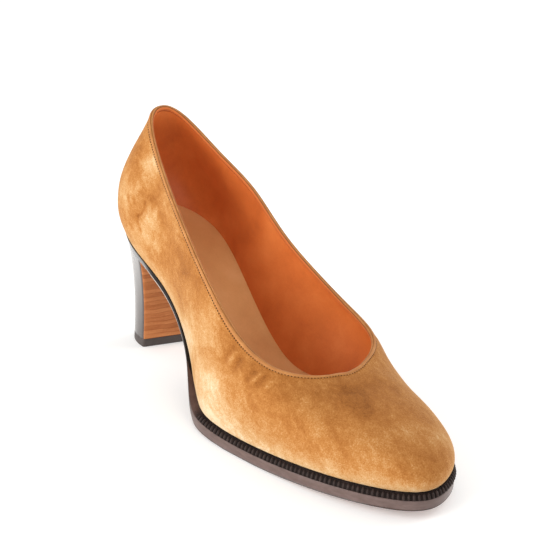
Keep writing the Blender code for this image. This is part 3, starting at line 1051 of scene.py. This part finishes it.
heel = {
    "sidePoints": 121,
    "breastPoints": 48,
    "outlinePoints": 1600,
    "layers": 20,
    "gaps": (0.08, 0.03),    # room over the top lift and under the sole
    # part of a layer's height, and how deep the groove between two layers is there (0 to 1)
    "groove": ((0, 1), (0.07, 0.4), (0.14, 0), (0.5, 0), (0.86, 0), (0.93, 0.4)),
    "sunk": (0.006, 0.07),   # full depth of a groove, at the side and on the breast,
    "dark": (0.08, 0.8),     # and how dark it is there
    "wave": 0.32,            # how far the layers wander over the breast
    "cornerRounds": 4,       # passes that ease the corners between side and breast
    "sideLook": {
        "specular": 0.35,
        "shader": {"Specular Tint": (1, 0.74, 0.62, 1),
                   "Coat Weight": 1, "Coat Roughness": 0.06, "Coat IOR": 1.85},
        "coarse": (450, 4, 0.6, 0.2, (5, 5, 1)),
        "fine": (900, 3, 0.6),
        "weights": (0.9, 0.25),
        "colours": [(0.1, (0.014, 0.008, 0.006)), (0.5, (0.023, 0.014, 0.011)),
                    (0.95, (0.040, 0.025, 0.020))],
        "covers": {"sunk": (0.010, 0.005, 0.004)},
        "rough": ("coarse", 0.24, 0.40),
    },
    "breastLook": {
        "specular": 0.15,
        "coarse": (300, 4, 0.6, 0.5, (1, 4.5, 0.5)),
        "fine": (1500, 3, 0.65, 0, (1, 2, 0.7)),
        "weights": (0.55, 0.30),
        "tint": {"layerTone": 0.26},
        "colours": [(0.1, (0.290, 0.082, 0.024)), (0.45, (0.475, 0.158, 0.051)), (0.7, (0.610, 0.234, 0.084)),
                    (0.95, (0.720, 0.330, 0.141))],
        "covers": {"sunk": (0.310, 0.085, 0.024)},
        "rough": ("coarse", 0.42, 0.60),
        "relief": [("coarse", 0.25, 0.00018)],
    },
}


def evenSpacing(line, count):
    run = np.concatenate([[0], np.cumsum(np.linalg.norm(np.diff(line[:, :2], axis=0), axis=1))])
    at = np.linspace(0, run[-1], count)
    return np.stack([np.interp(at, run, line[:, k]) for k in range(line.shape[1])], axis=1)


def baseLine(count):
    angle = np.linspace(0, np.pi, heel["outlinePoints"] // 2)
    power = 2 / form["basePower"]
    y = form["baseHalf"] * np.sign(np.cos(angle)) * np.abs(np.cos(angle))**power
    x = form["baseBreast"] + form["baseSlant"] * y - form["baseLength"] * np.abs(np.sin(angle))**power
    return evenSpacing(np.stack([x, y], axis=1), count)


def seatLine(count):
    # under the sole from the breast on the left, round the back, to the breast on the right
    fine = heel["outlinePoints"]
    lines = footLines(fine)
    outline = lines["outline"]
    lean = form["seatLean"] * (1 - smoothStep(outline[:, 0], *form["leanEnds"]))
    low = soleBottom(outline[:, 0])
    outline = outline - lines["outward"] * lean[:, None]
    outline[:, 2] = low
    near = np.roll(outline, fine // 4, axis=0)[:fine // 2 + 1]
    return evenSpacing(near[near[:, 0] < form["seatBreast"] + form["seatSlant"] * near[:, 1]], count)


def closedOutline(side, across):
    # a D from its round side: the flat breast is filled in, and the two corners are eased
    t = np.linspace(0, 1, across + 2)[1:-1, None]
    outline = np.concatenate([side, side[-1] + (side[0] - side[-1]) * t])
    near = np.zeros((len(outline), 1))
    near[[0, 1, 2, len(side) - 3, len(side) - 2, len(side) - 1, len(side), -1]] = 1
    for _ in range(heel["cornerRounds"]):
        eased = (np.roll(outline, 1, axis=0) + 2 * outline + np.roll(outline, -1, axis=0)) / 4
        outline = outline + (eased - outline) * near
    return outline


def outOf(outline):
    along = np.roll(outline, -1, axis=0) - np.roll(outline, 1, axis=0)
    out = unit(np.stack([along[:, 1], -along[:, 0]], axis=1))
    return out * np.sign((out * (outline[:, :2] - outline[:, :2].mean(axis=0))).sum())


def stackFaces(rings, per):
    # quads up a stack of equal rings, with a flat cap below and above
    faces = [[r * per + i, r * per + (i + 1) % per, (r + 1) * per + (i + 1) % per, (r + 1) * per + i]
             for r in range(rings - 1) for i in range(per)]
    return faces + [list(range(per))[::-1], [(rings - 1) * per + i for i in range(per)]]


def makeHeel():
    sides, breasts, layers = heel["sidePoints"], heel["breastPoints"], heel["layers"]
    per = sides + breasts
    base, seat = baseLine(sides), seatLine(sides)
    floorGap, seatGap = heel["gaps"]
    floor = form["lift"] + floorGap
    across = np.zeros(per)
    across[sides:] = np.linspace(0, 1, breasts + 2)[1:-1]
    onBreast = np.sin(np.pi * across)**0.5
    sinks, darkens = (np.where(onBreast > 0, breast * onBreast, side)
                      for side, breast in (heel["sunk"], heel["dark"]))
    rings, sunk, tones = [], [], []
    steps = [(layer, part, depth) for layer in range(layers) for part, depth in heel["groove"]]
    for layer, part, depth in steps + [(layers - 1, 1, 1)]:
        level = (layer + part) / layers
        flare = level**form["heelCurve"]
        plan = base * (1 - flare) + seat[:, :2] * flare
        height = floor + (seat[:, 2] - seatGap - floor) * level
        ring = closedOutline(np.column_stack([plan, height]), breasts)
        ring[:, :2] -= outOf(ring) * (depth * sinks)[:, None]
        # the layers wander less towards the breast's ends
        phase = level * layers
        wave = np.sin(across * 8 + phase * 0.55) + 0.5 * np.sin(across * 19 + phase * 1.2)
        ring[:, 2] += heel["wave"] * wave * onBreast * math.sin(math.pi * level)**0.3
        rings.append(ring)
        sunk.append(depth * darkens)
        tones.append(np.full(per, 0.5 + 0.5 * math.sin(layer * 2.4 + 0.8 * math.cos(layer * 5.1))))
    faces = stackFaces(len(rings), per)
    index = [1 if sides - 1 <= i % per else 0 for i in range(len(faces) - 2)] + [0, 0]
    finishes = [newFinish("polishedHeel", heel["sideLook"]), newFinish("layeredBreast", heel["breastLook"])]
    makePiece("stackedHeel", np.concatenate(rings), faces, finishes, "heel_block",
              {"sunk": np.concatenate(sunk), "layerTone": np.concatenate(tones)},
              sharpAngle=38, finishOf=index)


lift = {
    "points": 121,
    "breastPoints": 48,
    # in from the outline, height above the floor
    "edge": ((1.2, 0), (0.45, 0), (0.12, 0.12), (0, 0.45), (0, 4.15), (0.06, 4.35), (0.3, 4.5)),
    "look": {
        "specular": 0.45,
        "coarse": (180, 3, 0.6),
        "fine": (2600, 2, 0.6),
        "weights": (0.7, 0.6),
        "colours": [(0.1, (0.040, 0.030, 0.027)), (0.55, (0.066, 0.050, 0.045)),
                    (0.95, (0.105, 0.083, 0.075))],
        "rough": ("coarse", 0.42, 0.62),
        "relief": [("fine", 0.25, 0.00014)],
    },
}


def makeLift():
    outline = closedOutline(baseLine(lift["points"]), lift["breastPoints"])
    out = outOf(outline)
    rings = []
    for inset, height in lift["edge"]:
        rings.append(np.column_stack([outline - out * inset, np.full(len(outline), height)]))
    faces = stackFaces(len(rings), len(outline))
    makePiece("topLift", np.concatenate(rings), faces, [newFinish("blackLift", lift["look"])],
              "top_lift", sharpAngle=38)


makeSuede()
makeLining()
print("stage 2: suede and lining")
makeBinding()
makeStitches()
print("stage 3: binding and stitches")
makeWelt()
makeRibs()
makeSole()
makeSock()
print("stage 4: welt, sole and sock")
makeHeel()
makeLift()
print("stage 5: heel")

# Floor, light and camera

studio = {
    "floor": (0.92, 0.915, 0.905),
    "floorHalf": 40,
    "patches": 0.985,       # faint darker patches in it
    "glow": (0.2, 0.5),     # the floor is a softly lit table: near the shoe, and far away
    "glowReach": 1.2,
    "world": 0.68,
    # place in metres, size, power, colour
    "lamps": {
        "leftWindow": ((-0.15, -1.05, 0.42), 1, 13, (1, 0.985, 0.96)),
        "frontFill": ((1.05, -0.35, 0.45), 0.8, 2, (1, 0.99, 0.98)),
        "backRight": ((0.15, 1, 0.50), 0.9, 7, (1, 0.99, 0.97)),
    },
    "aim": (0, 0, 0.05),
}


def floorFinish():
    material, tree, shader = newMaterial("paleFloor", {
        "Roughness": 0.6, "Specular IOR Level": 0.25, "Emission Color": (1, 1, 1, 1),
    })
    away = addNode(tree, "ShaderNodeVectorMath", {0: objectPlace(tree)}, operation="LENGTH")
    far = maths(tree, "MULTIPLY_ADD", away.outputs["Value"], 1 / studio["glowReach"], -0.5)
    low = tuple(studio["patches"] * part for part in studio["floor"])
    dress(tree, shader, {
        "Emission Strength": spread(tree, far, *studio["glow"]),
        "Base Color": blend(tree, noise(tree, 6, 2, 0.5), low, studio["floor"]),
    })
    return material


def makeStudio():
    mesh = bpy.data.meshes.new("paleFloor")
    half = studio["floorHalf"]
    corners = [(-half, -half, 0), (half, -half, 0), (half, half, 0), (-half, half, 0)]
    mesh.from_pydata(corners, [], [(0, 1, 2, 3)])
    mesh.materials.append(floorFinish())
    floor = intoScene("paleFloor", mesh)
    for name, (place, size, power, colour) in studio["lamps"].items():
        light = bpy.data.lights.new(name, "AREA")
        light.shape = "DISK"
        light.size = size
        light.energy = power
        light.color = colour
        lamp = intoScene(name, light)
        lamp.location = place
        lamp.rotation_euler = (Vector(studio["aim"]) - Vector(place)).to_track_quat("-Z", "Y").to_euler()
    world = bpy.data.worlds.new("studioWhite")
    world.use_nodes = True
    sky = world.node_tree.nodes["Background"]
    sky.inputs["Color"].default_value = (1, 1, 1, 1)
    sky.inputs["Strength"].default_value = studio["world"]
    bpy.context.scene.world = world
    bpy.context.scene.view_settings.view_transform = "Standard"


# Read off the photograph: where the camera stands round the shoe, its tilt and its lens
camera = {
    "aimAt": (105, 20, 50),
    "azimuth": 0.7179,
    "elevation": 0.4167,
    "roll": 0.0792,
    "distance": 616.33,
    "focalPixels": 1306.46,
    "middle": (303.71, 300.09),
    "picture": 550,
    "sensor": 36,
    "clip": (0.01, 20),
}


def makeCamera():
    a, e, roll = camera["azimuth"], camera["elevation"], camera["roll"]
    back = np.array([math.cos(a) * math.cos(e), -math.sin(a) * math.cos(e), math.sin(e)])
    place = np.array(camera["aimAt"]) - origin + camera["distance"] * back
    right = unit(np.cross(-back, [0, 0, 1]))
    up = np.cross(right, -back)
    tiltedRight = math.cos(roll) * right + math.sin(roll) * up
    tiltedUp = math.cos(roll) * up - math.sin(roll) * right
    # the lens axis is turned to the middle of the picture, so that no shift is needed
    half = camera["picture"] / 2
    across = (half - camera["middle"][0]) / camera["focalPixels"]
    upwards = (camera["middle"][1] - half) / camera["focalPixels"]
    ahead = unit(-back + across * tiltedRight + upwards * tiltedUp)
    side = unit(np.cross(ahead, tiltedUp))
    over = np.cross(side, ahead)
    lens = bpy.data.cameras.new("photoCamera")
    lens.sensor_width = camera["sensor"]
    lens.lens = camera["focalPixels"] * camera["sensor"] / camera["picture"]
    lens.clip_start, lens.clip_end = camera["clip"]
    viewer = intoScene("photoCamera", lens)
    viewer.matrix_world = Matrix(
        [[side[k], over[k], -ahead[k], place[k] * mm] for k in range(3)] + [[0, 0, 0, 1]])
    bpy.context.scene.camera = viewer


makeStudio()
makeCamera()
print("stage 6: floor, light and camera")
